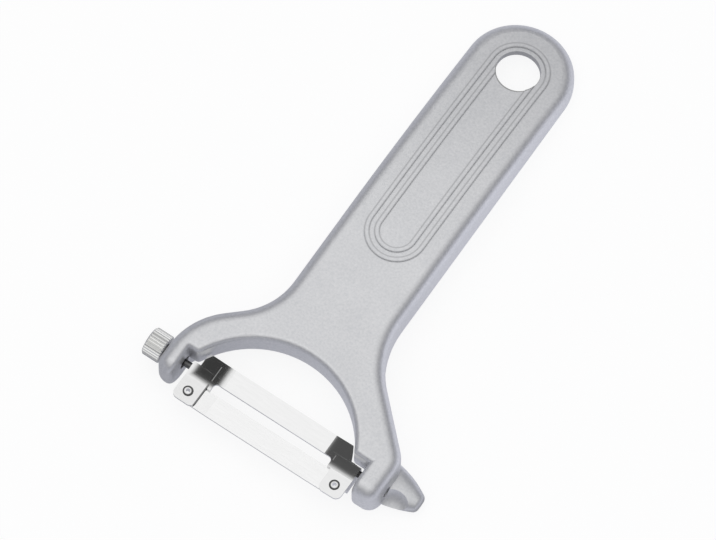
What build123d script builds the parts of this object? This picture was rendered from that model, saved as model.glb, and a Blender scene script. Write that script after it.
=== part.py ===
from math import asin, cos, degrees, hypot, radians, sin, tan
import os

from build123d import *

# Y-shaped vegetable peeler: a cast aluminium body, a swivelling blade unit between its
# two arms, and a screw that holds the blade's left pivot.
# Millimetres, +Z up. The origin is in the middle of the hanging hole's wall.
# +Y runs from the blade to the hanging hole, and the adjusting knob is on the -X side.
# Heights are measured from the bench that the peeler lies on.

os.makedirs("parts", exist_ok=True)

# Casting: reach and side view
pivot_reach = 120.6
pivot_height = 7.3
nose_length = 7.1
nose_top_radius = 4.2
nose_bottom_radius = 6.2
crown_height = 15.4
crown_fall_angle = 1.5
arch_reach = 62.0
arch_radius = 400.0
skirt_height = 4.2
skirt_setback = 17.2
foot_setback = 7.7
overrun = 2.0

# Casting: handle
handle_width = 30.9
end_offset = 0.25
hole_diameter = 12.4
crown_wall = 2.0
skirt_wall = 2.3
web_wall = 3.2
pocket_setback = 17.6
edge_radius = 3.6
rib_width = 1.25
rib_radius = 8.85
rib_step = 2.8
rib_reach = 58.8
rib_height = 0.35

# Casting: fork, with its setbacks measured back from the pivot
left_arm_gap = 2.45
right_arm_gap = 1.65
left_arm_width = 5.4
right_arm_width = 7.4
throat_inset = 1.6
throat_shift = 0.95
throat_advance = 9.0
throat_edge_radius = 1.5
throat_depth = 8.4
ledge_gap = 2.4
ledge_corner_radius = 1.6
left_neck_setback = 25.9
left_neck_radius = 20.0
left_shoulder_setback = 10.0
left_shoulder_radius = 22.0
right_neck_setback = 30.6
right_neck_radius = 26.0
right_shoulder_setback = 8.0
right_shoulder_radius = 8.0

# Casting: potato-eye remover, a horn on the outer side of the right arm
horn_length = 8.9
horn_offset = 3.4
horn_width = 13.0
horn_height = 6.6
horn_tip_width = 4.6
horn_tip_height = 4.0
horn_tip_radius = 1.7
horn_rise = 0.3
horn_sink = 5.0
scoop_radius = 7.5
scoop_reach = 4.0
scoop_front = 3.8
scoop_height = 9.9

# Blade unit
sheet = 0.8
blade_length = 54.8
blade_x = 2.15
guide_inset = 2.1
guide_rear = 5.4
guide_corner = 5.3
guide_corner_radius = 2.0
guide_rise = 0.8
bend_reach = 16.5
bend_rise = 0.6
slot_front = 3.3
slot_rear = 0.7
slot_inset = 8.2
slot_radius = 1.2
tab_front = 10.3
strip_front = 9.9
tab_width = 7.0
tab_radius = 1.8
tab_tilt = 4.0
ear_heel = 1.2
ear_half_height = 2.2
ear_front = 6.0
ear_radius = 0.6
strip_thickness = 0.7
strip_end_gap = 1.0
edge_bevel = 1.2
edge_land = 0.12
rivet_diameter = 2.4
rivet_head_diameter = 3.0
rivet_head = 0.3
rivet_bore = 1.2
rivet_reach = 6.9
rivet_inset = 3.4

# Pivots, adjusting screw and knob
pivot_diameter = 2.0
pivot_clearance = 0.05
tip_overhang = 0.7
shoulder_depth = 0.6
shank_diameter = 4.0
shank_clearance = 0.04
pin_diameter = 3.2
pin_seat = 5.5
knob_diameter = 8.4
knob_length = 5.5
knob_gap = 0.6
knob_bite = 3.4
knob_bite_gap = 0.3
knob_chamfer = 0.4
knurl_count = 32
knurl_depth = 0.3
end_chamfer = 0.3

# Places worked out from the sizes above
half_width = handle_width / 2
pivot_y = -pivot_reach
nose_y = pivot_y - nose_length
ledge_y = pivot_y + ledge_gap
left_face = blade_x - blade_length / 2 - left_arm_gap
right_face = blade_x + blade_length / 2 + right_arm_gap
fork_gap = right_face - left_face
fork_middle = (left_face + right_face) / 2
throat_radius = fork_gap / 2 - throat_inset
throat_middle = fork_middle - throat_shift
throat_y = pivot_y - throat_advance
left_side = left_face - left_arm_width
right_side = right_face + right_arm_width
handle_end = half_width + end_offset + overrun
fall = radians(crown_fall_angle)
arch_start_height = crown_height - (nose_length + pivot_reach - arch_reach) * tan(fall)
hole_slope = asin(sin(fall) + arch_reach / arch_radius)
hole_height = arch_start_height - arch_radius * (cos(fall) - cos(hole_slope))
hole_slope_angle = degrees(hole_slope)
end_slope = asin(sin(fall) + (handle_end + arch_reach) / arch_radius)
arch_angle = degrees(end_slope) - crown_fall_angle

# The bench's level below the origin, and the planes that the peeler is drawn on.
# The crown's plane holds the flat front part of the crown, and the walls are square to it.
bench_z = crown_wall / 2 / cos(hole_slope) - hole_height
bench = Plane.XY.offset(bench_z)
side = Plane(origin=(0, 0, bench_z), x_dir=(0, 1, 0), z_dir=(1, 0, 0))
crown_origin = (0, nose_y, bench_z + crown_height)
crown = Plane(origin=crown_origin, x_dir=(1, 0, 0), z_dir=(0, sin(fall), cos(fall)))
pivot_z = bench_z + pivot_height
horn_sections = (
    (-horn_sink, horn_width, horn_height),
    (horn_length / 3, (horn_width * 2 + horn_tip_width) / 3, (horn_height * 2 + horn_tip_height) / 3),
    (horn_length, horn_tip_width, horn_tip_height),
)

# The blade unit's planes at the pivot, and the fold where its tabs start to lean up
unit = Plane(origin=(blade_x, pivot_y, pivot_z))
unit_side = Plane(origin=unit.origin, x_dir=(0, 1, 0), z_dir=(1, 0, 0))
fold_origin = (blade_x, pivot_y - slot_front, pivot_z)
fold = Plane(origin=fold_origin, x_dir=(1, 0, 0), z_dir=(0, -1, 0))
lean = radians(tab_tilt)
lean_direction = (0, -cos(lean), sin(lean))
lean_length = (tab_front - slot_front) / cos(lean)
bevel_fall = strip_thickness - edge_land - edge_bevel * tan(lean)
bevel_direction = Vector(0, -edge_bevel, -bevel_fall).normalized()
strip_end = blade_length / 2 - strip_end_gap
bend_slope = bend_rise / (blade_length / 2 - bend_reach)
ear_top = guide_rise + bend_rise + sheet / 2
rivet_grip = (sheet + strip_thickness) / hypot(1, bend_slope, tan(lean))

# The spindle, the knob and the pin along the pivot's axis
left_shoulder = left_face - shoulder_depth
right_shoulder = right_face + shoulder_depth
left_tip_length = shoulder_depth + left_arm_gap + sheet + tip_overhang
right_tip_length = shoulder_depth + right_arm_gap + sheet + tip_overhang
knob_inner = left_side - knob_gap
spindle_length = left_shoulder - knob_inner + knob_bite - knob_bite_gap
pin_length = pin_seat - shoulder_depth
stood = (Align.CENTER, Align.CENTER, Align.MIN)
hung = (Align.CENTER, Align.CENTER, Align.MAX)


def crown_line(depth):
    """The crown seen from the side, from the nose to the handle's end, sunk by depth."""
    start = (nose_y - depth * sin(fall), crown_height - depth * cos(fall))
    turn = (-arch_reach - depth * sin(fall), arch_start_height - depth * cos(fall))
    top = Line(start, turn)
    return top, JernArc(top @ 1, top % 1, arch_radius - depth, -arch_angle)


# Side view of the casting, from the nose of its arms to the end of the handle
with BuildSketch(side) as side_view:
    with BuildLine():
        top, arch = crown_line(0)
        end_wall = Line(arch @ 1, (handle_end, 0))
        skirt = Line(end_wall @ 1, (pivot_y + skirt_setback, skirt_height))
        heel = Line(skirt @ 1, (pivot_y + foot_setback, 0))
        foot = Line(heel @ 1, (nose_y, 0))
        nose = Line(foot @ 1, top @ 0)
    make_face()
    fillet(side_view.vertices().group_by(Axis.X)[0].sort_by(Axis.Y)[-1], nose_top_radius)
    fillet(side_view.vertices().group_by(Axis.X)[0].sort_by(Axis.Y)[0], nose_bottom_radius)


def view_under(depth):
    """Everything under the crown sunk by depth, seen from the side."""
    with BuildSketch(side) as view:
        with BuildLine():
            top, arch = crown_line(depth)
            far_wall = Line(arch @ 1, (handle_end, -overrun))
            mouth = Line(far_wall @ 1, (nose_y, -overrun))
            Line(mouth @ 1, top @ 0)
        make_face()
    return view.sketch


# Plan of the casting: the handle, the neck and the outer edges of the two arms.
# The crown's plane starts at the nose, so these plans count Y back from there.
with BuildSketch(crown) as outer_plan:
    with BuildLine():
        left_edge = FilletPolyline(
            (-half_width, end_offset - nose_y),
            (-half_width, nose_length + left_neck_setback),
            (left_side, nose_length + left_shoulder_setback),
            (left_side, -overrun),
            radius=[left_neck_radius, left_shoulder_radius],
        )
        right_edge = FilletPolyline(
            (right_side, -overrun),
            (right_side, nose_length + right_shoulder_setback),
            (half_width, nose_length + right_neck_setback),
            (half_width, end_offset - nose_y),
            radius=[right_shoulder_radius, right_neck_radius],
        )
        Line(left_edge @ 1, right_edge @ 0)
        Line(right_edge @ 1, left_edge @ 0)
    make_face()
    with Locations((0, end_offset - nose_y)):
        Circle(half_width)

# Plan of the opening for the blade unit: a round throat that steps out at the ledges
with BuildSketch(crown) as fork_plan:
    with Locations((throat_middle, throat_y - nose_y)):
        Circle(throat_radius)
    with Locations((fork_middle, ledge_y - nose_y)):
        Rectangle(fork_gap, nose_length * 2, align=(Align.CENTER, Align.MAX))
    corners = fork_plan.vertices().group_by(Axis.Y)[-1].sort_by(Axis.X)[1:3]
    fillet(corners, ledge_corner_radius)

# Plan of the hollow: the outer plan less the skirt's wall, kept behind the throat
with BuildSketch(crown) as hollow_plan:
    add(outer_plan.sketch_local)
    offset(amount=-skirt_wall, kind=Kind.INTERSECTION)
    with Locations((throat_middle, throat_y - nose_y)):
        Circle(throat_radius + web_wall, mode=Mode.SUBTRACT)
    with Locations((0, nose_length + pocket_setback)):
        Rectangle(fork_gap * 2, fork_gap, align=(Align.CENTER, Align.MAX), mode=Mode.SUBTRACT)

with BuildPart() as hollow:
    add(hollow_plan.sketch)
    extrude(amount=crown_height * 2, both=True)
    extrude(view_under(crown_wall), amount=fork_gap, both=True, mode=Mode.INTERSECT)


def crown_over(y):
    """Height of the crown over the bench at one place along the peeler."""
    if y < -arch_reach:
        return crown_height - (y - nose_y) * tan(fall)
    slope = asin(sin(fall) + (y + arch_reach) / arch_radius)
    return arch_start_height - arch_radius * (cos(fall) - cos(slope))


def is_rim(edge):
    """True for an edge along the crown or down round a nose."""
    middle = edge @ 0.5
    round_nose = middle.Y < nose_y + nose_bottom_radius and abs((edge % 0.5).X) < 0.999
    return round_nose or middle.Z - bench_z > crown_over(middle.Y) - rib_height


def is_inner(edge):
    """True for an edge of the opening that the blade unit sits in."""
    middle = edge @ 0.5
    if middle.Y > ledge_y + rib_height:
        return hypot(middle.X - throat_middle, middle.Y - throat_y) < throat_radius + rib_height
    return left_face - rib_height < middle.X < right_face + rib_height


# Two raised ribs that run down the handle and round the hanging hole
with BuildPart() as ribs:
    with BuildSketch(bench):
        with Locations((0, -rib_reach / 2)):
            for radius in (rib_radius, rib_radius - rib_step):
                SlotCenterToCenter(rib_reach, radius * 2, rotation=90)
                inside = (radius - rib_width) * 2
                SlotCenterToCenter(rib_reach, inside, rotation=90, mode=Mode.SUBTRACT)
    extrude(amount=crown_height)
    extrude(view_under(-rib_height), amount=fork_gap, both=True, mode=Mode.INTERSECT)
    extrude(view_under(crown_wall / 2), amount=fork_gap, both=True, mode=Mode.SUBTRACT)

# Potato-eye remover: a horn that tapers away from the arm, scooped out on its front
with BuildPart() as horn:
    for reach, width, height in horn_sections:
        section = Plane(
            origin=(right_side + reach, pivot_y + horn_offset, bench_z + horn_rise + height / 2),
            x_dir=(0, 1, 0),
            z_dir=(1, 0, 0),
        )
        with BuildSketch(section):
            Ellipse(width / 2, height / 2)
    loft()
    fillet(horn.faces().sort_by(Axis.X)[-1].edges(), horn_tip_radius)
    with Locations((right_side + scoop_reach, pivot_y - scoop_front, bench_z + scoop_height)):
        Sphere(scoop_radius, mode=Mode.SUBTRACT)

with BuildPart() as body_casting:
    with BuildSketch(crown):
        add(outer_plan.sketch_local)
        add(fork_plan.sketch_local, mode=Mode.SUBTRACT)
    extrude(amount=crown_height * 2, both=True)
    extrude(side_view.sketch, amount=fork_gap, both=True, mode=Mode.INTERSECT)

    rim = body_casting.edges().filter_by(is_rim)
    outer_rim = rim.filter_by(lambda edge: not is_inner(edge) and abs((edge % 0.5).X) < 0.999)
    outer_rim += rim.filter_by(lambda edge: (edge @ 0.5).Y > 0)
    fillet(outer_rim, edge_radius)
    inner_rim = body_casting.edges().filter_by(is_rim).filter_by(is_inner)
    fillet(inner_rim, throat_edge_radius)
    add(hollow.part, mode=Mode.SUBTRACT)

    # The web round the throat ends well above the bench
    with BuildSketch(crown.offset(-throat_depth)):
        with Locations((throat_middle, throat_y - nose_y)):
            Circle(throat_radius + web_wall)
        with Locations((fork_middle, ledge_y - nose_y)):
            Rectangle(fork_gap * 2, fork_gap * 2, align=(Align.CENTER, Align.MAX), mode=Mode.SUBTRACT)
    extrude(amount=-crown_height, mode=Mode.SUBTRACT)

    add(ribs.part)

    # Hanging hole, square to the crown
    with Locations(Plane.XY.rotated((-hole_slope_angle, 0, 0))):
        Cylinder(hole_diameter / 2, crown_wall * 4, mode=Mode.SUBTRACT)

    add(horn.part)

    # Bores for the spindle in the left arm and for the pivot pin in the right arm
    with Locations(Location((left_face - left_arm_width / 2, pivot_y, pivot_z), (0, 90, 0))):
        Cylinder(shank_diameter / 2 + shank_clearance, left_arm_width * 2, mode=Mode.SUBTRACT)
    with Locations(Location((right_face + right_arm_width / 2, pivot_y, pivot_z), (0, 90, 0))):
        Cylinder(pin_diameter / 2, right_arm_width * 2, mode=Mode.SUBTRACT)


def bent_band(low, high, half_length):
    """Front view of a flat sheet whose two ends are bent up a little."""
    rise = (half_length - bend_reach) * bend_slope
    with BuildSketch(fold) as band:
        with BuildLine():
            Polyline(
                (-half_length, high + rise),
                (-bend_reach, high),
                (bend_reach, high),
                (half_length, high + rise),
                (half_length, low + rise),
                (bend_reach, low),
                (-bend_reach, low),
                (-half_length, low + rise),
                close=True,
            )
        make_face()
    return band.sketch


def tab_top(end):
    """The plane on top of one tab, where its rivet goes."""
    across = blade_length / 2 - rivet_inset
    climb = (across - bend_reach) * bend_slope + (rivet_reach - slot_front) * tan(lean)
    top = pivot_z + guide_rise + sheet + climb
    return Plane(
        origin=(blade_x + end * across, pivot_y - rivet_reach, top),
        z_dir=(-end * bend_slope, tan(lean), 1),
    )


# The two tabs of the blade frame, which lean up towards the front
with BuildPart() as tabs:
    band = bent_band(guide_rise, guide_rise + sheet, blade_length / 2)
    extrude(band, amount=lean_length, dir=lean_direction)
    with BuildSketch(unit) as tab_plan:
        for end in (-1, 1):
            with Locations((end * (blade_length - tab_width) / 2, tab_width - tab_front)):
                RectangleRounded(tab_width, tab_width * 2, tab_radius)
    extrude(tab_plan.sketch, amount=crown_height, both=True, mode=Mode.INTERSECT)

# One ear, turned down from the sheet at each end, with the pivot's hole
with BuildPart() as ears:
    with BuildSketch(unit_side) as ear_side:
        with Locations(((ear_heel - ear_front) / 2, (ear_top - ear_half_height) / 2)):
            Rectangle(ear_heel + ear_front, ear_top + ear_half_height)
        fillet(ear_side.vertices().group_by(Axis.Y)[0], ear_radius)
        Circle(pivot_diameter / 2 + pivot_clearance, mode=Mode.SUBTRACT)
    extrude(amount=blade_length / 2, both=True)
    with Locations(unit):
        Box(blade_length - sheet * 2, ear_front * 4, ear_half_height * 4, mode=Mode.SUBTRACT)

# Bent sheet with the guide bar at the back, a slot in front of it, the tabs and the ears
with BuildPart() as blade_frame:
    with BuildSketch(unit) as frame_plan:
        with Locations((0, (guide_rear - slot_rear) / 2)):
            Rectangle(blade_length - guide_inset * 2, guide_rear + slot_rear)
        chamfer(frame_plan.vertices().group_by(Axis.Y)[-1], guide_corner)
        fillet(frame_plan.vertices().group_by(Axis.Y)[-1], guide_corner_radius)
        with Locations((0, (ear_heel - slot_front) / 2)):
            Rectangle(blade_length, ear_heel + slot_front)
        slot_length = blade_length - slot_inset * 2
        with Locations((0, -slot_front)):
            Rectangle(slot_length, (slot_front - slot_rear) * 2, mode=Mode.SUBTRACT)
        fillet(frame_plan.vertices().group_by(Axis.Y)[1], slot_radius)
    extrude(amount=crown_height)
    extrude(band, amount=-blade_length, mode=Mode.INTERSECT)
    add(tabs.part)
    add(ears.part)
    for end in (-1, 1):
        with BuildSketch(tab_top(end)):
            Circle(rivet_diameter / 2)
        extrude(amount=-rivet_grip, mode=Mode.SUBTRACT)

# Blade strip under the tabs, with its cutting edge along the slot
with BuildPart() as cutting_blade:
    strip = bent_band(guide_rise - strip_thickness, guide_rise, strip_end)
    strip_length = (strip_front - slot_front) / cos(lean)
    extrude(strip, amount=strip_length, dir=lean_direction)
    below = bent_band(guide_rise - strip_thickness * 2, guide_rise - edge_land, strip_end)
    extrude(below, amount=edge_bevel * 2, dir=bevel_direction, mode=Mode.SUBTRACT)
    for end in (-1, 1):
        with BuildSketch(tab_top(end)):
            Circle(rivet_diameter / 2)
        extrude(amount=-rivet_grip * 2, mode=Mode.SUBTRACT)


def draw_rivet(rivet):
    """A tubular rivet with a flat head above the tab and another under the blade."""
    Cylinder(rivet_diameter / 2, rivet_grip, align=hung)
    Cylinder(rivet_head_diameter / 2, rivet_head, align=stood)
    with Locations((0, 0, -rivet_grip)):
        Cylinder(rivet_head_diameter / 2, rivet_head, align=hung)
    heads = rivet.faces().filter_by(GeomType.PLANE).sort_by(Axis.Z)
    chamfer(heads[0].edges() + heads[-1].edges(), rivet_head / 2)
    Cylinder(rivet_bore / 2, rivet_grip * 4, mode=Mode.SUBTRACT)


with BuildPart(tab_top(-1)) as rivet_left:
    draw_rivet(rivet_left)

with BuildPart(tab_top(1)) as rivet_right:
    draw_rivet(rivet_right)

# Screw spindle through the left arm, with a thin end in the blade frame's left ear
with BuildPart(Plane(origin=(left_shoulder, pivot_y, pivot_z), z_dir=(-1, 0, 0))) as adjusting_spindle:
    Cylinder(shank_diameter / 2, spindle_length, align=stood)
    Cylinder(pivot_diameter / 2, left_tip_length, align=hung)
    ends = adjusting_spindle.faces().filter_by(Axis.X).sort_by(Axis.X)
    chamfer((ends[0].edges() + ends[-1].edges()), end_chamfer)

# Knurled knob, bored from its inner end for the spindle
knob_face = Plane(origin=(knob_inner, pivot_y, pivot_z), z_dir=(-1, 0, 0))
with BuildPart(knob_face) as knurled_knob:
    Cylinder(knob_diameter / 2, knob_length, align=stood)
    chamfer(knurled_knob.edges().filter_by(GeomType.CIRCLE), knob_chamfer)
    with BuildSketch(knob_face):
        with PolarLocations(knob_diameter / 2, knurl_count):
            RegularPolygon(knurl_depth, 4)
    extrude(amount=knob_length, mode=Mode.SUBTRACT)
    Cylinder(shank_diameter / 2 + shank_clearance, knob_bite, align=stood, mode=Mode.SUBTRACT)

# Pivot pin, pressed in the right arm, with a thin end in the blade frame's right ear
with BuildPart(Plane(origin=(right_shoulder, pivot_y, pivot_z), z_dir=(1, 0, 0))) as pivot_pin:
    Cylinder(pin_diameter / 2, pin_length, align=stood)
    Cylinder(pivot_diameter / 2, right_tip_length, align=hung)
    ends = pivot_pin.faces().filter_by(Axis.X).sort_by(Axis.X)
    chamfer((ends[0].edges() + ends[-1].edges()), end_chamfer)

body_casting.part.label = "body_casting"
blade_frame.part.label = "blade_frame"
cutting_blade.part.label = "cutting_blade"
rivet_left.part.label = "rivet_left"
rivet_right.part.label = "rivet_right"
adjusting_spindle.part.label = "adjusting_spindle"
knurled_knob.part.label = "knurled_knob"
pivot_pin.part.label = "pivot_pin"

export_step(body_casting.part, "parts/body_casting.step")
export_step(blade_frame.part, "parts/blade_frame.step")
export_step(cutting_blade.part, "parts/cutting_blade.step")
export_step(rivet_left.part, "parts/rivet_left.step")
export_step(rivet_right.part, "parts/rivet_right.step")
export_step(adjusting_spindle.part, "parts/adjusting_spindle.step")
export_step(knurled_knob.part, "parts/knurled_knob.step")
export_step(pivot_pin.part, "parts/pivot_pin.step")
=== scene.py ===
import bmesh
import bpy
import math
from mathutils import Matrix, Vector


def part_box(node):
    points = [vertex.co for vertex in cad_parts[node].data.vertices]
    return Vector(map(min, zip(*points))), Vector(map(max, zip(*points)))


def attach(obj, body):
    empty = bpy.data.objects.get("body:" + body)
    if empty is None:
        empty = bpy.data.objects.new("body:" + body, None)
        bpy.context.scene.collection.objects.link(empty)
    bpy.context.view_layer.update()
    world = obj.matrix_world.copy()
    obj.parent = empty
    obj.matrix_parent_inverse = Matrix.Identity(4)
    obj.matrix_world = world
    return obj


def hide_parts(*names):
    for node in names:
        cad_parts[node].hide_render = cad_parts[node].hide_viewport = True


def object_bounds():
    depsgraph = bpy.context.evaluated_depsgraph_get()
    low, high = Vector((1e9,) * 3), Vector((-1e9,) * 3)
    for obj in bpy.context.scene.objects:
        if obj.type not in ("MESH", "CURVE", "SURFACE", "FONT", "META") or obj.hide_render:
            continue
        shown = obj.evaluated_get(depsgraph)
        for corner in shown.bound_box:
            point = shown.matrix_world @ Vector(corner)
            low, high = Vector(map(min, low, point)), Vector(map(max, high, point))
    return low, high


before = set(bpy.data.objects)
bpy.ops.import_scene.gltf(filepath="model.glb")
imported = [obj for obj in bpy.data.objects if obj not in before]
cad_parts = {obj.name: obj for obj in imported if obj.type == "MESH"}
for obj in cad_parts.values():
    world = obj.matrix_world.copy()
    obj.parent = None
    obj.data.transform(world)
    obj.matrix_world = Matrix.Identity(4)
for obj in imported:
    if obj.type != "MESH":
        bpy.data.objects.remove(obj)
cad_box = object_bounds()

# The bench and the light
# The peeler lies on a pale bench under soft studio light. Two dark cards and a pale one
# hang where the blade frame's bright sheet mirrors them, and only shiny metal shows them.
scene = bpy.context.scene
scene.view_settings.view_transform = "Standard"

camera_azimuth = math.radians(34.2)
camera_elevation = math.radians(70.3)
camera_distance = 6.0
pixels_per_metre = 3676.0
photo_width = 716.0
photo_height = 540.0
origin_pixel = (518.4, 72.3)
film_width = 36.0
farthest_seen = 20.0

towards_camera = Vector((
    math.sin(camera_azimuth) * math.cos(camera_elevation),
    -math.cos(camera_azimuth) * math.cos(camera_elevation),
    math.sin(camera_elevation),
))
camera_right = Vector((math.cos(camera_azimuth), math.sin(camera_azimuth), 0))
camera_up = towards_camera.cross(camera_right)

middle = (cad_box[0] + cad_box[1]) / 2
aim = (
    camera_right * ((photo_width / 2 - origin_pixel[0]) / pixels_per_metre)
    + camera_up * ((origin_pixel[1] - photo_height / 2) / pixels_per_metre)
    + towards_camera * middle.dot(towards_camera)
)
camera_data = bpy.data.cameras.new("photo_camera")
camera_data.sensor_width = film_width
camera_data.lens = film_width * camera_distance * pixels_per_metre / photo_width
camera_data.clip_end = farthest_seen
camera = bpy.data.objects.new("photo_camera", camera_data)
camera.location = aim + towards_camera * camera_distance
camera.rotation_mode = "QUATERNION"
camera.rotation_quaternion = towards_camera.to_track_quat("Z", "Y")
scene.collection.objects.link(camera)
scene.camera = camera


class Value:
    """A socket that can be used in sums."""

    def __init__(self, finish, socket):
        self.finish = finish
        self.socket = socket

    def __add__(self, other):
        return self.finish.sum("ADD", self, other)

    def __radd__(self, other):
        return self.finish.sum("ADD", other, self)

    def __sub__(self, other):
        return self.finish.sum("SUBTRACT", self, other)

    def __rsub__(self, other):
        return self.finish.sum("SUBTRACT", other, self)

    def __mul__(self, other):
        return self.finish.sum("MULTIPLY", self, other)

    def __rmul__(self, other):
        return self.finish.sum("MULTIPLY", other, self)


class Finish:
    """A material, or the world, and the nodes that are put in it."""

    def __init__(self, owner):
        owner.use_nodes = True
        self.owner = owner
        self.tree = owner.node_tree
        self.tree.nodes.clear()

    def add(self, kind, settings, sockets, output=0):
        node = self.tree.nodes.new(kind)
        for name, value in settings.items():
            if name == "stops":
                ramp = node.color_ramp
                while len(ramp.elements) < len(value):
                    ramp.elements.new(1.0)
                for element, (place, colour) in zip(ramp.elements, value):
                    element.position = place
                    element.color = colour
            else:
                setattr(node, name, value)
        for name, value in sockets.items():
            if isinstance(value, Value):
                self.tree.links.new(value.socket, node.inputs[name])
            else:
                node.inputs[name].default_value = value
        return Value(self, node.outputs[output])

    def sum(self, operation, *values):
        return self.add("ShaderNodeMath", {"operation": operation}, dict(enumerate(values)))

    def close(self, surface, kind="ShaderNodeOutputMaterial"):
        out = self.tree.nodes.new(kind)
        self.tree.links.new(surface.socket, out.inputs["Surface"])


def grey(level):
    return (level, level, level, 1)


def along(finish, vector, axis):
    """One axis of a vector."""
    return finish.add("ShaderNodeSeparateXYZ", {}, {"Vector": vector}, axis)


def mix(finish, share, first, second):
    """The first colour, and the second where the share is 1."""
    return finish.add("ShaderNodeMix", {"data_type": "RGBA"}, {0: share, 6: first, 7: second}, 2)


def fade(finish, value, start, end, first, last, style="LINEAR"):
    """A number that goes from first to last while the value goes from start to end."""
    return finish.add("ShaderNodeMapRange", {"interpolation_type": style}, {
        "Value": value, "From Min": start, "From Max": end, "To Min": first, "To Max": last})


# The room's tone by height, and its strength, which is a little more in the west.
room_tones = (
    (0.00, (0.56, 0.57, 0.64, 1)),
    (0.15, (0.50, 0.51, 0.56, 1)),
    (0.40, (0.23, 0.23, 0.25, 1)),
    (0.60, (0.46, 0.46, 0.47, 1)),
    (0.78, grey(0.80)),
    (0.92, grey(1.09)),
    (1.00, grey(1.14)),
)
west_edge, east_edge = -0.30, -0.08
west_light, east_light = 1.06, 0.94
white = grey(1)

world = bpy.data.worlds.new("studio")
scene.world = world
sky = Finish(world)
seen = sky.add("ShaderNodeLightPath", {}, {}, "Is Camera Ray")
heading = sky.add("ShaderNodeTexCoord", {}, {}, "Generated")
overhead = sky.add("ShaderNodeValToRGB", {"stops": room_tones}, {"Fac": along(sky, heading, "Z")})
across = fade(sky, along(sky, heading, "X"), west_edge, east_edge, west_light, east_light)
backdrop = sky.add("ShaderNodeBackground", {}, {
    "Color": mix(sky, seen, overhead, white), "Strength": across + seen * (1.0 - across)})
sky.close(backdrop, "ShaderNodeOutputWorld")


def board(name, half_x, half_y, level, paint):
    """A flat rectangle with one paint on it."""
    mesh = bpy.data.meshes.new(name)
    corners = ((-half_x, -half_y), (half_x, -half_y), (half_x, half_y), (-half_x, half_y))
    mesh.from_pydata([(x, y, level) for x, y in corners], [], [(0, 1, 2, 3)])
    thing = bpy.data.objects.new(name, mesh)
    scene.collection.objects.link(thing)
    thing.data.materials.append(paint)
    return thing


# Metal mirrors the bench in a bluish tint, and dimmer close to the horn's foot. Each row
# holds an axis, where the mirrored light starts and ends to change, and its two strengths.
floor_half = 6.0
floor_z = cad_box[0].z
paper_white = grey(0.95)
seen_light = 1.07
glow_share = 0.8
mirror_tint = (0.74, 0.75, 0.83, 1)
mirror_lights = (
    ("X", -0.04, 0.07, 0.70, 1.40),
    ("Y", -0.14, -0.04, 0.79, 1.08),
)
horn_foot = (0.054, -0.116, floor_z)
horn_near, horn_far = 0.006, 0.018
horn_light = 0.45

paint = Finish(bpy.data.materials.new("bench_paint"))
paper = paint.add("ShaderNodeBsdfDiffuse", {}, {"Color": paper_white})
seen = paint.add("ShaderNodeLightPath", {}, {}, "Is Camera Ray")
mirrored = paint.add("ShaderNodeLightPath", {}, {}, "Is Glossy Ray")
bench_place = paint.add("ShaderNodeTexCoord", {}, {}, "Object")
from_horn = paint.add("ShaderNodeVectorMath", {"operation": "DISTANCE"}, {
    0: bench_place, 1: horn_foot}, "Value")
mirror_light = fade(paint, from_horn, horn_near, horn_far, horn_light, 1.0)
for axis, start, end, first, last in mirror_lights:
    mirror_light = mirror_light * fade(
        paint, along(paint, bench_place, axis), start, end, first, last)
glow = paint.add("ShaderNodeEmission", {}, {
    "Color": mix(paint, seen, mirror_tint, white),
    "Strength": mirror_light + seen * (seen_light - mirror_light)})
paint.close(paint.add("ShaderNodeMixShader", {}, {
    0: (seen + mirrored) * glow_share, 1: paper, 2: glow}))
bench = board("bench", floor_half, floor_half, floor_z, paint.owner)

# A card is farther off than the patch of sheet that mirrors it, so it is larger by
# card_growth. The guide's ends rise outwards by end_rise over end_run.
card_distance = 0.6
card_growth = 1 + card_distance / camera_distance
end_rise, end_run = 0.0006, 0.0109
end_slope = end_rise / end_run
left_end = Vector((end_slope, 0, 1)).normalized()
right_end = Vector((-end_slope, 0, 1)).normalized()
left_tab = Vector((0.0548, 0.0697, 0.9961))
# Each row: name, the way the sheet faces there, the patch's middle and half sizes, the
# card's tone, and the width of its soft edge.
cards = (
    ("left_card", left_end, (-0.0198, -0.1170, 0.0030), (0.0041, 0.0058), 0.05, 0.0010),
    ("right_card", right_end, (0.0253, -0.1166, 0.0030), (0.0070, 0.0068), 0.09, 0.0012),
    ("tab_card", left_tab, (-0.0220, -0.1275, 0.0034), (0.0038, 0.0040), 1.00, 0.0005),
)
for name, facing, target, half, tone, soft_edge in cards:
    card_paint = Finish(bpy.data.materials.new(name))
    spot = card_paint.add("ShaderNodeTexCoord", {}, {}, "Object")
    inside = None
    for axis, size in zip("XY", half):
        offset = along(card_paint, spot, axis)
        depth = size * card_growth - card_paint.sum("ABSOLUTE", offset)
        inside = depth if inside is None else card_paint.sum("MINIMUM", inside, depth)
    cover = fade(card_paint, inside, -soft_edge, soft_edge, 0.0, 1.0, "SMOOTHSTEP")
    card_paint.close(card_paint.add("ShaderNodeMixShader", {}, {
        0: cover,
        1: card_paint.add("ShaderNodeBsdfTransparent", {}, {}),
        2: card_paint.add("ShaderNodeEmission", {}, {"Color": grey(tone)})}))
    reach_x, reach_y = (size * card_growth + soft_edge for size in half)
    card = board(name, reach_x, reach_y, 0, card_paint.owner)
    sight = (Vector(target) - camera.location).normalized()
    card.location = Vector(target) + sight.reflect(facing) * card_distance
    card.rotation_mode = "QUATERNION"
    card.rotation_quaternion = Vector((0, 0, 1)).rotation_difference(facing)
    card.visible_camera = False
    card.visible_diffuse = False
    card.visible_shadow = False
    card.visible_transmission = False

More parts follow.
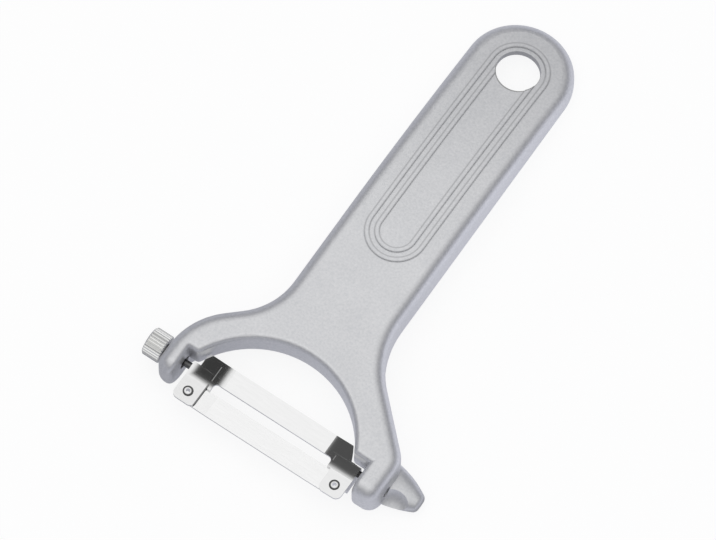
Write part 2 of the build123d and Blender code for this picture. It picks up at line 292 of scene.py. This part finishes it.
# Cast body
# One aluminium die casting: handle, yoke and the potato-eye horn. It is tumbled to an
# even satin grain and left bare, with painted shade along the ribs' edges.
cast_grain = 0.0007
cast_cloud = 0.012
grain_weight = 1.2
cloud_weight = 0.4
tone_drop = 0.3
cast_dark = (0.60, 0.61, 0.63, 1)
cast_light = (0.82, 0.82, 0.83, 1)
cast_metallic = 0.9
cast_roughness = 0.36
grain_roughness = 0.12
grain_strength = 0.5
grain_depth = 0.00003
flat_from = 0.5
# Painted shade: within hole_edge of the hanging hole's middle the casting is painted darker, for
# its shaded inner wall.
hole_edge = 0.0063
hole_shade_colour = grey(0.42)
# The ribs' four edges lie at these distances from a line that runs from the hanging hole
# down the handle.
rib_outlines = (0.00885, 0.0076, 0.00605, 0.0048)
rib_run = 0.0588
# Painted shade: thin dark lines along the ribs' edges stand in for the shade the ribs cast.
rib_shade_width = 0.00042
rib_shade_share = 0.42
rib_shade_colour = (0.20, 0.20, 0.21, 1)


def coat(node, material):
    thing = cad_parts[node]
    thing.data.materials.clear()
    thing.data.materials.append(material)


cast = Finish(bpy.data.materials.new("cast_aluminium"))
place = cast.add("ShaderNodeTexCoord", {}, {}, "Object")
grain = cast.add("ShaderNodeTexNoise", {}, {
    "Vector": place, "Scale": 1 / cast_grain, "Detail": 2.0, "Roughness": 0.55})
cloud = cast.add("ShaderNodeTexNoise", {}, {
    "Vector": place, "Scale": 1 / cast_cloud, "Detail": 3.0, "Roughness": 0.5})
tone = mix(cast, grain * grain_weight - tone_drop + cloud * cloud_weight, cast_dark, cast_light)
x = along(cast, place, "X")
y = along(cast, place, "Y")
beyond = cast.sum("MAXIMUM", y, 0.0) + cast.sum("MINIMUM", y + rib_run, 0.0)
from_rib_line = cast.sum("SQRT", x * x + beyond * beyond)
up = along(cast, cast.add("ShaderNodeTexCoord", {}, {}, "Normal"), "Z")
# Painted shade along the four rib outlines, on upward faces only.
rib_shade = 0.0
for outline in rib_outlines:
    gap = cast.sum("ABSOLUTE", from_rib_line - outline)
    rib_shade = rib_shade + fade(cast, gap, 0.0, rib_shade_width, 1.0, 0.0, "SMOOTHSTEP")
rib_shade = rib_shade * cast.sum("GREATER_THAN", up, flat_from) * rib_shade_share
rib_shaded_tone = mix(cast, rib_shade, tone, rib_shade_colour)
# Painted shade on the hanging hole's inner wall.
in_hole = cast.sum("LESS_THAN", cast.sum("SQRT", x * x + y * y), hole_edge)
bump = cast.add("ShaderNodeBump", {}, {
    "Height": grain, "Strength": grain_strength, "Distance": grain_depth})
cast.close(cast.add("ShaderNodeBsdfPrincipled", {}, {
    "Base Color": mix(cast, in_hole, rib_shaded_tone, hole_shade_colour), "Metallic": cast_metallic,
    "Roughness": cast_roughness + grain * grain_roughness, "Normal": bump}))
coat("body_casting", cast.owner)

# Blade frame and blade
# Stamped stainless sheet and a ground stainless strip. The sheet is drawn smooth along its
# length, and the strip shows faint grinding marks along the cutting edge.
clouds_per_metre = 180.0
cloud_wear = 0.01
cut_wear = 0.35
# The crease lines are painted shade: a dark colour, and more roughness.
crease_wear = 0.3
crease_shade_colour = grey(0.22)
mark_strength = 0.4


def steel(name, dark, light, roughness, grain_size, marks, depth, cut_edge=None, shade_creases=()):
    """Bare steel: fine marks, a slow cloud in its roughness, cut edges and painted crease shade.

    The numbers in marks say how much closer the marks lie along X, Y and Z.
    """
    finish = Finish(bpy.data.materials.new(name))
    place = finish.add("ShaderNodeTexCoord", {}, {}, "Object")
    drawn = finish.add("ShaderNodeVectorMath", {"operation": "MULTIPLY"}, {0: place, 1: marks})
    grain = finish.add("ShaderNodeTexNoise", {}, {
        "Vector": drawn, "Scale": 1 / grain_size, "Detail": 3.0, "Roughness": 0.6})
    cloud = finish.add("ShaderNodeTexNoise", {}, {
        "Vector": place, "Scale": clouds_per_metre, "Detail": 2.0})
    shade = mix(finish, grain, dark, light)
    wear = roughness + cloud * cloud_wear
    if cut_edge:
        up = along(finish, finish.add("ShaderNodeTexCoord", {}, {}, "Normal"), "Z")
        sheared = finish.sum("LESS_THAN", finish.sum("ABSOLUTE", up), flat_from)
        shade = mix(finish, sheared, shade, cut_edge)
        wear = wear + sheared * cut_wear
    # Painted shade: each crease line is painted dark and made rougher.
    for middle, half in shade_creases:
        crease_shade = 1.0
        for axis, centre, reach in zip("XY", middle, half):
            offset = along(finish, place, axis) - centre
            crease_shade = crease_shade * finish.sum("LESS_THAN", finish.sum("ABSOLUTE", offset), reach)
        shade = mix(finish, crease_shade, shade, crease_shade_colour)
        wear = wear + crease_shade * crease_wear
    bump = finish.add("ShaderNodeBump", {}, {
        "Height": grain, "Strength": mark_strength, "Distance": depth})
    finish.close(finish.add("ShaderNodeBsdfPrincipled", {}, {
        "Base Color": shade, "Metallic": 1.0, "Roughness": wear, "Normal": bump}))
    return finish.owner


# The guide's ends run square under the yoke, so they are drawn out to it here. Painted shade
# lies in thin dark lines across each of them, and along the left tab's inner edge.
frame_middle = 0.00215
guide_half = 0.0253
guide_back = -0.1152
guide_joint = -0.1196
guide_top = 0.00274
sheet_gauge = 0.0008
bend_reach = 0.0165
end_start_share = 1.12
yoke_middle = (0.0008, -0.1296)
yoke_reach = 0.0274
yoke_ledge = -0.1193
corner_steps = 9
weld_gap = 1e-6
cut_steel = grey(0.75)
# Each line of painted crease shade: its middle and its half sizes.
frame_shade_creases = (
    ((-0.0182, -0.1190), (0.00013, 0.0024)),
    ((0.0217, -0.1209), (0.00013, 0.0008)),
    ((-0.0183, -0.1268), (0.00028, 0.0042)),
)

pressed = bmesh.new()
pressed.from_mesh(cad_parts["blade_frame"].data)
bmesh.ops.remove_doubles(pressed, verts=pressed.verts, dist=weld_gap)
sheet_mesh = bpy.data.meshes.new("pressed_frame")
pressed.to_mesh(sheet_mesh)
pressed.free()
pressed_frame = bpy.data.objects.new("pressed_frame", sheet_mesh)
scene.collection.objects.link(pressed_frame)
guide_ends = []
for side in (-1, 1):
    start = frame_middle + side * bend_reach * end_start_share
    end = frame_middle + side * guide_half
    outline = [(start, guide_back)]
    for step in range(corner_steps):
        y = guide_back + (yoke_ledge - guide_back) * step / (corner_steps - 1)
        wall = yoke_middle[0] + side * math.sqrt(yoke_reach ** 2 - (y - yoke_middle[1]) ** 2)
        outline.append((min(wall, end) if side > 0 else max(wall, end), y))
    outline += [(end, yoke_ledge), (end, guide_joint), (start, guide_joint)]
    plate = bmesh.new()
    layers = []
    for drop in (0, sheet_gauge):
        layer = []
        for x, y in outline:
            rise = end_slope * (abs(x - frame_middle) - bend_reach)
            layer.append(plate.verts.new((x, y, guide_top - drop + rise)))
        layers.append(layer)
    bmesh.ops.remove_doubles(plate, verts=plate.verts, dist=weld_gap)
    top, bottom = ([vert for vert in layer if vert.is_valid] for layer in layers)
    plate.faces.new(top)
    plate.faces.new(bottom)
    for near in range(len(top)):
        far = (near + 1) % len(top)
        plate.faces.new((top[near], top[far], bottom[far], bottom[near]))
    bmesh.ops.recalc_face_normals(plate, faces=plate.faces)
    plate_mesh = bpy.data.meshes.new("guide_end")
    plate.to_mesh(plate_mesh)
    plate.free()
    guide_end = bpy.data.objects.new("guide_end", plate_mesh)
    scene.collection.objects.link(guide_end)
    guide_ends.append(guide_end)
    weld = pressed_frame.modifiers.new("weld", "BOOLEAN")
    weld.operation = "UNION"
    weld.solver = "EXACT"
    weld.object = guide_end
bpy.context.view_layer.update()
welded = bpy.data.meshes.new_from_object(
    pressed_frame.evaluated_get(bpy.context.evaluated_depsgraph_get()))
pressed_frame.modifiers.clear()
pressed_frame.data = welded
for polygon in welded.polygons:
    polygon.use_smooth = False
for guide_end in guide_ends:
    bpy.data.objects.remove(guide_end)
pressed_frame.data.materials.clear()
pressed_frame.data.materials.append(steel(
    "frame_steel", dark=grey(0.75), light=grey(0.83), roughness=0.01,
    grain_size=0.0009, marks=(0.2, 1, 1), depth=0.0000002,
    cut_edge=cut_steel, shade_creases=frame_shade_creases))
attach(pressed_frame, "blade_unit")
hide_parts("blade_frame")
coat("cutting_blade", steel(
    "blade_steel", dark=grey(0.82), light=grey(0.90), roughness=0.12,
    grain_size=0.0006, marks=(0.1, 1, 1), depth=0.000003, cut_edge=cut_steel))

# Rivets
# Two tubular steel rivets, rolled over at both ends. The rolled rims are painted near black as
# shade, darker than the smooth middle of the head.
rivet_rim = 0.00088
rim_blend = 0.0002
# Painted shade: the rim outside rivet_rim is near black.
rivet_middle = grey(0.80)
rim_shade_low = grey(0.04)
rim_shade_high = grey(0.16)
rivet_grain = 0.0004
rivet_roughness = 0.22
rivet_wear = 0.1
rivet_strength = 0.4
rivet_depth = 0.00001
for rivet in ("rivet_left", "rivet_right"):
    finish = Finish(bpy.data.materials.new(rivet + "_steel"))
    low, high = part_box(rivet)
    centre = (low + high) / 2
    place = finish.add("ShaderNodeTexCoord", {}, {}, "Object")
    grain = finish.add("ShaderNodeTexNoise", {}, {
        "Vector": place, "Scale": 1 / rivet_grain, "Detail": 2.0})
    x = along(finish, place, "X") - centre.x
    y = along(finish, place, "Y") - centre.y
    reach = finish.sum("SQRT", x * x + y * y)
    # Painted shade on the rim outside rivet_rim.
    shaded_rim = fade(finish, reach, rivet_rim, rivet_rim + rim_blend, 0.0, 1.0, "SMOOTHSTEP")
    shade = mix(finish, shaded_rim, rivet_middle, mix(finish, grain, rim_shade_low, rim_shade_high))
    bump = finish.add("ShaderNodeBump", {}, {
        "Height": grain, "Strength": rivet_strength, "Distance": rivet_depth})
    finish.close(finish.add("ShaderNodeBsdfPrincipled", {}, {
        "Base Color": shade, "Metallic": 1.0,
        "Roughness": rivet_roughness + grain * rivet_wear, "Normal": bump}))
    coat(rivet, finish.owner)

# Adjusting screw
# A turned steel spindle that screws through the left arm, painted near black for the shade
# in the gaps where it shows. Its knurled and plated knob is pressed on the outer end.
coat("adjusting_spindle", steel(
    "spindle_steel", dark=grey(0.10), light=grey(0.22), roughness=0.30,
    grain_size=0.0004, marks=(4, 1, 1), depth=0.000008))
coat("knurled_knob", steel(
    "knob_metal", dark=(0.67, 0.67, 0.66, 1), light=(0.81, 0.81, 0.80, 1), roughness=0.20,
    grain_size=0.0005, marks=(1, 1, 1), depth=0.000006))

# Pivot pin
# A dark turned steel pin, pressed in the right arm from the outside. The blade frame's
# right ear swings on its thin end.
coat("pivot_pin", steel(
    "pin_steel", dark=grey(0.03), light=grey(0.10), roughness=0.35,
    grain_size=0.0004, marks=(4, 1, 1), depth=0.000008))
